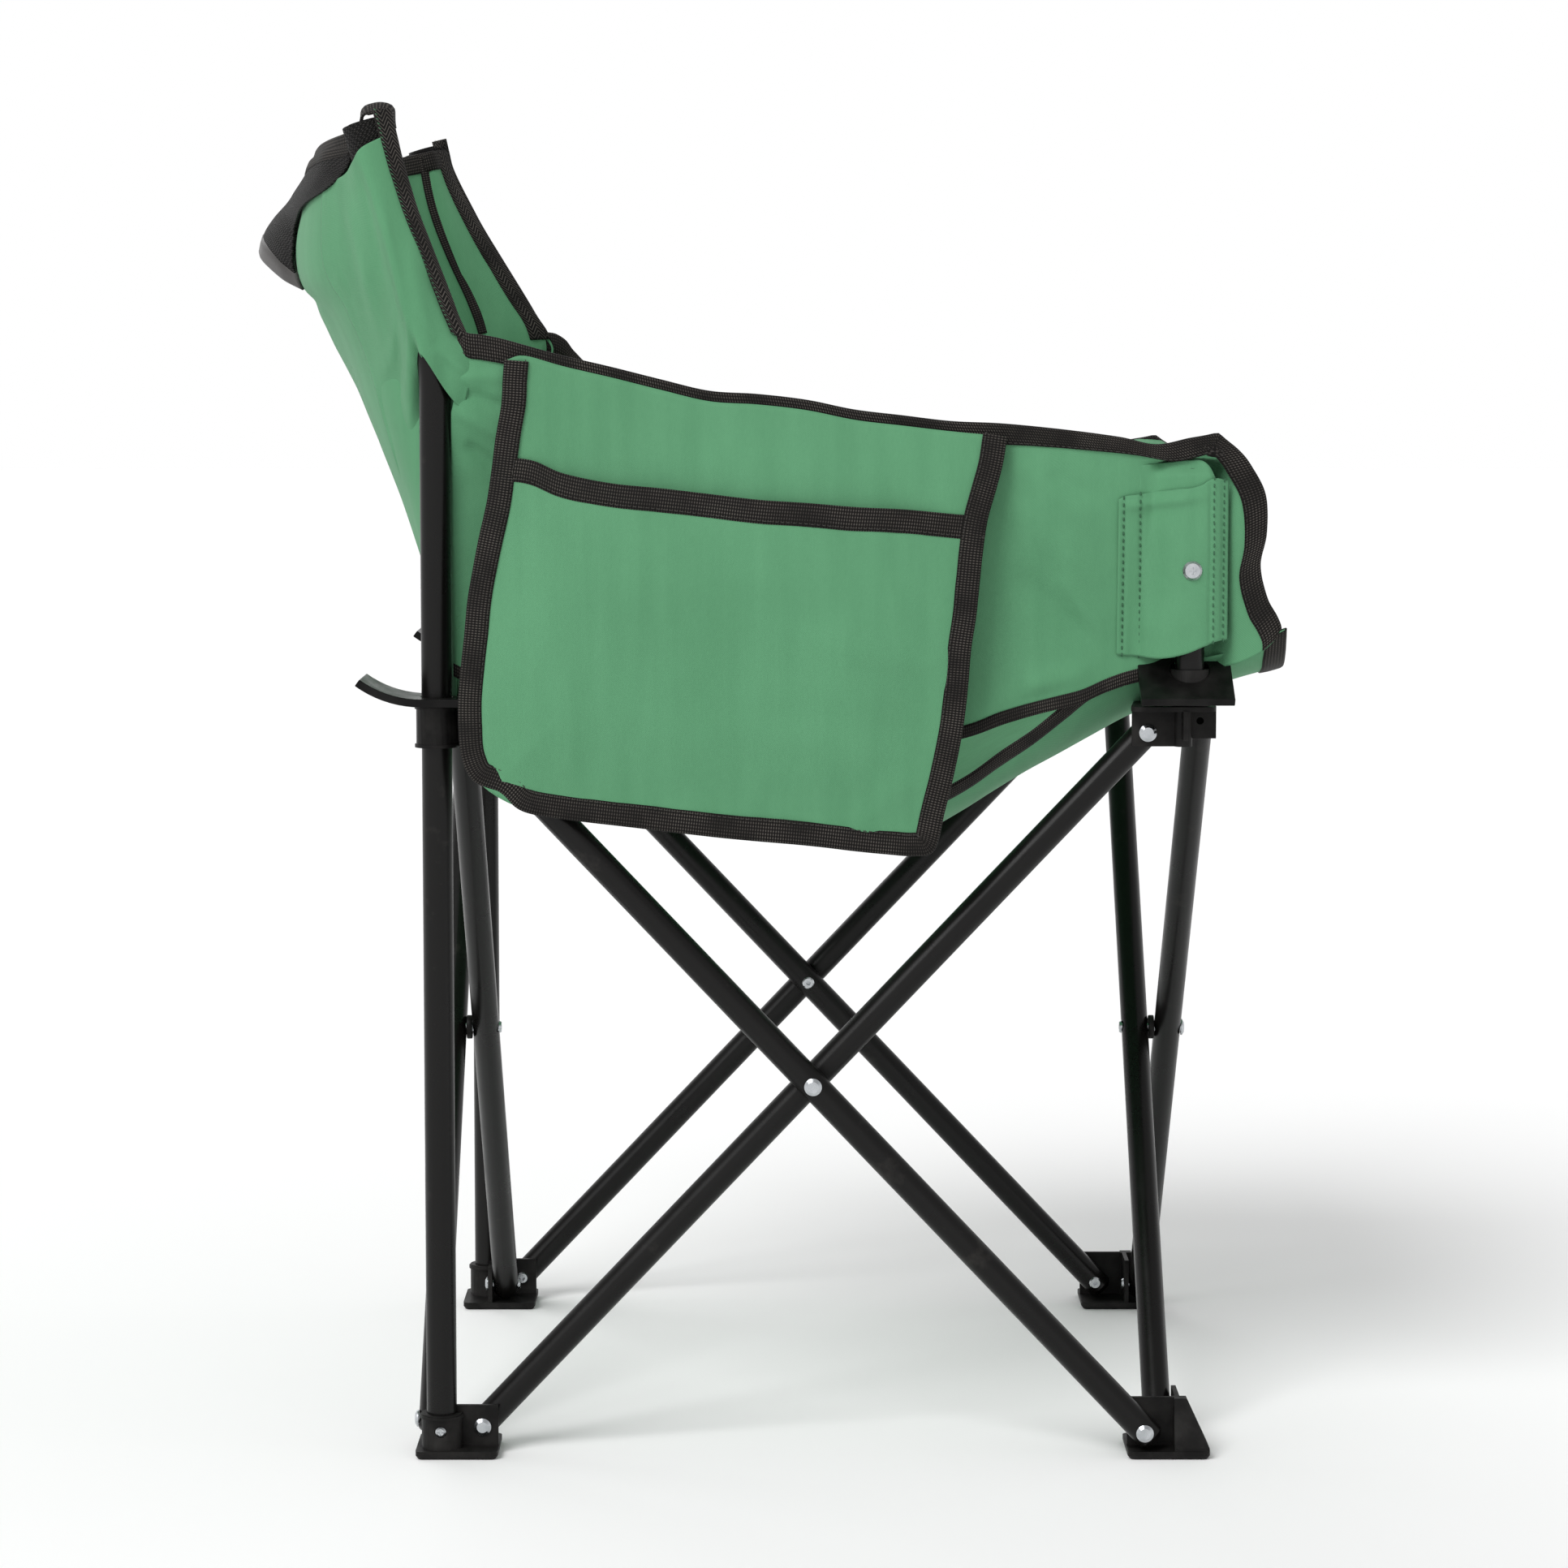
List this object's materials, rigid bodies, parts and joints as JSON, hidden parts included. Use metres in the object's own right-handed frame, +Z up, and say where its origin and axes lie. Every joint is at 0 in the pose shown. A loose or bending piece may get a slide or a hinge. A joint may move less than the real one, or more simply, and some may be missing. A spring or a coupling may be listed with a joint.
{
  "type": "folding camp chair",
  "caption": "Folding camp chair with crossed steel arms, sliding rear brackets, a hanging fabric bucket seat, side pockets and a mesh pouch behind the headrest.",
  "frame": {"origin": "on the ground, at the middle of the chair's footprint box", "axes": "+X to the chair's front, +Y to the sitter's left, +Z up"},
  "size_m": [0.672, 0.544, 0.8483],
  "materials": {
    "tube_black": "satin powder coat on steel tube",
    "plastic_black": "moulded, matt",
    "plate_black": "flexible sheet, slightly glossy",
    "zinc": "bright zinc plated",
    "canvas_green": "woven polyester, matt",
    "webbing_black": "woven tape, matt",
    "mesh_black": "coarse open mesh"
  },
  "bodies": {
    "root": {"foot_rear_right": "plastic_black", "foot_rivets_rear_right": "zinc", "upright_right": "tube_black", "upright_cap_right": "plastic_black", "upright_screw_right": "zinc", "side_panel_right": "canvas_green", "side_pocket_right": "canvas_green", "back_panel": "canvas_green", "mesh_pouch": "mesh_black", "hang_loop": "webbing_black"},
    "arm_right_inner": {"arm_right_inner": "tube_black"},
    "arm_right_outer": {"arm_right_outer": "tube_black", "cross_rivet_right": "zinc", "cross_spacer_right": "plastic_black"},
    "arm_front_inner": {"arm_front_inner": "tube_black"},
    "arm_front_outer": {"arm_front_outer": "tube_black", "cross_rivet_front": "zinc", "cross_spacer_front": "plastic_black"},
    "arm_left_inner": {"arm_left_inner": "tube_black"},
    "arm_left_outer": {"arm_left_outer": "tube_black", "cross_rivet_left": "zinc", "cross_spacer_left": "plastic_black"},
    "arm_rear_inner": {"arm_rear_inner": "tube_black"},
    "arm_rear_outer": {"arm_rear_outer": "tube_black", "cross_rivet_rear": "zinc", "cross_spacer_rear": "plastic_black"},
    "front_right_foot": {"foot_front_right": "plastic_black", "foot_rivets_front_right": "zinc"},
    "front_left_foot": {"foot_front_left": "plastic_black", "foot_rivets_front_left": "zinc"},
    "rear_left_foot": {"foot_rear_left": "plastic_black", "foot_rivets_rear_left": "zinc", "upright_left": "tube_black", "upright_cap_left": "plastic_black", "upright_screw_left": "zinc", "side_panel_left": "canvas_green", "side_pocket_left": "canvas_green"},
    "rear_right_bracket": {"bracket_rear_right": "plastic_black", "bracket_rivets_rear_right": "zinc", "corner_plate_rear_right": "plate_black"},
    "front_right_bracket": {"bracket_front_right": "plastic_black", "bracket_rivets_front_right": "zinc", "corner_plate_front_right": "plate_black", "arm_post_right": "tube_black", "arm_post_cap_right": "plastic_black", "arm_screw_right": "zinc"},
    "seat_half_right": {"seat_right": "canvas_green"},
    "arm_sleeve_right": {"arm_sleeve_right": "canvas_green"},
    "rear_left_bracket": {"bracket_rear_left": "plastic_black", "bracket_rivets_rear_left": "zinc", "corner_plate_rear_left": "plate_black"},
    "front_left_bracket": {"bracket_front_left": "plastic_black", "bracket_rivets_front_left": "zinc", "corner_plate_front_left": "plate_black", "arm_post_left": "tube_black", "arm_post_cap_left": "plastic_black", "arm_screw_left": "zinc"},
    "seat_half_left": {"seat_left": "canvas_green"},
    "arm_sleeve_left": {"arm_sleeve_left": "canvas_green"}
  },
  "joints": [
    {"name": "fold", "type": "hinge", "parent": "root", "child": "arm_right_inner", "pos_m": [-0.173, -0.231, 0.017], "axis": [0, -1, 0], "range_deg": [0, 34], "deforming": ["side_panel_right", "side_panel_left", "side_pocket_right", "side_pocket_left", "back_panel", "mesh_pouch", "hang_loop", "seat_right", "seat_left", "arm_sleeve_right", "arm_sleeve_left"]},
    {"name": "right_cross", "type": "hinge", "parent": "arm_right_inner", "child": "arm_right_outer", "pos_m": [0.036, -0.231, 0.2375], "axis": [0, -1, 0], "range_deg": [-68, 0]},
    {"name": "right_front_foot_pin", "type": "hinge", "parent": "arm_right_outer", "child": "front_right_foot", "pos_m": [0.245, -0.231, 0.017], "axis": [0, -1, 0], "range_deg": [0, 34]},
    {"name": "right_front_bracket_pin", "type": "hinge", "parent": "arm_right_inner", "child": "front_right_bracket", "pos_m": [0.245, -0.231, 0.458], "axis": [0, -1, 0], "range_deg": [-34, 0]},
    {"name": "right_rear_bracket_pin", "type": "hinge", "parent": "arm_right_outer", "child": "rear_right_bracket", "pos_m": [-0.173, -0.231, 0.458], "axis": [0, -1, 0], "range_deg": [0, 34]},
    {"name": "rear_right_foot_pin", "type": "hinge", "parent": "root", "child": "arm_rear_outer", "pos_m": [-0.195, -0.209, 0.017], "axis": [1, 0, 0], "range_deg": [0, 34]},
    {"name": "rear_cross", "type": "hinge", "parent": "arm_rear_outer", "child": "arm_rear_inner", "pos_m": [-0.195, 0, 0.2375], "axis": [1, 0, 0], "range_deg": [-68, 0]},
    {"name": "rear_left_foot_pin", "type": "hinge", "parent": "arm_rear_inner", "child": "rear_left_foot", "pos_m": [-0.195, 0.209, 0.017], "axis": [1, 0, 0], "range_deg": [0, 34]},
    {"name": "rear_left_bracket_pin", "type": "hinge", "parent": "arm_rear_outer", "child": "rear_left_bracket", "pos_m": [-0.195, 0.209, 0.458], "axis": [1, 0, 0], "range_deg": [-34, 0]},
    {"name": "front_right_foot_pin", "type": "hinge", "parent": "front_right_foot", "child": "arm_front_inner", "pos_m": [0.267, -0.209, 0.017], "axis": [1, 0, 0], "range_deg": [0, 34]},
    {"name": "front_cross", "type": "hinge", "parent": "arm_front_inner", "child": "arm_front_outer", "pos_m": [0.267, 0, 0.2375], "axis": [1, 0, 0], "range_deg": [-68, 0]},
    {"name": "front_left_bracket_pin", "type": "hinge", "parent": "arm_front_inner", "child": "front_left_bracket", "pos_m": [0.267, 0.209, 0.458], "axis": [1, 0, 0], "range_deg": [-34, 0]},
    {"name": "front_left_foot_pin", "type": "hinge", "parent": "arm_front_outer", "child": "front_left_foot", "pos_m": [0.267, 0.209, 0.017], "axis": [1, 0, 0], "range_deg": [0, 34]},
    {"name": "left_rear_foot_pin", "type": "hinge", "parent": "rear_left_foot", "child": "arm_left_outer", "pos_m": [-0.173, 0.231, 0.017], "axis": [0, -1, 0], "range_deg": [0, 34]},
    {"name": "left_cross", "type": "hinge", "parent": "arm_left_outer", "child": "arm_left_inner", "pos_m": [0.036, 0.231, 0.2375], "axis": [0, -1, 0], "range_deg": [-68, 0]},
    {"name": "seat_right_fold", "type": "hinge", "parent": "rear_right_bracket", "child": "seat_half_right", "pos_m": [0.036, -0.226, 0.485], "axis": [-1, 0, 0], "range_deg": [0, 72.77]},
    {"name": "seat_left_fold", "type": "hinge", "parent": "rear_left_bracket", "child": "seat_half_left", "pos_m": [0.036, 0.226, 0.485], "axis": [1, 0, 0], "range_deg": [0, 72.77]},
    {"name": "sleeve_right_shift", "type": "slide", "parent": "root", "child": "arm_sleeve_right", "axis": [-0.8952, 0, 0.4457], "range_m": [0, 0.3554]},
    {"name": "sleeve_left_shift", "type": "slide", "parent": "rear_left_foot", "child": "arm_sleeve_left", "axis": [-0.8952, 0, 0.4457], "range_m": [0, 0.3554]}
  ],
  "couplings": [
    {"joint": "right_cross", "follows": "fold", "ratio": -2},
    {"joint": "right_front_foot_pin", "follows": "fold", "ratio": 1},
    {"joint": "right_front_bracket_pin", "follows": "fold", "ratio": -1},
    {"joint": "right_rear_bracket_pin", "follows": "fold", "ratio": 1},
    {"joint": "rear_right_foot_pin", "follows": "fold", "ratio": 1},
    {"joint": "rear_cross", "follows": "fold", "ratio": -2},
    {"joint": "rear_left_foot_pin", "follows": "fold", "ratio": 1},
    {"joint": "rear_left_bracket_pin", "follows": "fold", "ratio": -1},
    {"joint": "front_right_foot_pin", "follows": "fold", "ratio": 1},
    {"joint": "front_cross", "follows": "fold", "ratio": -2},
    {"joint": "front_left_bracket_pin", "follows": "fold", "ratio": -1},
    {"joint": "front_left_foot_pin", "follows": "fold", "ratio": 1},
    {"joint": "left_rear_foot_pin", "follows": "fold", "ratio": 1},
    {"joint": "left_cross", "follows": "fold", "ratio": -2},
    {"joint": "seat_right_fold", "follows": "fold", "ratio": 2.1401},
    {"joint": "seat_left_fold", "follows": "fold", "ratio": 2.1401},
    {"joint": "sleeve_right_shift", "follows": "fold", "m_per_rad": 0.59875},
    {"joint": "sleeve_left_shift", "follows": "fold", "m_per_rad": 0.59875}
  ]
}
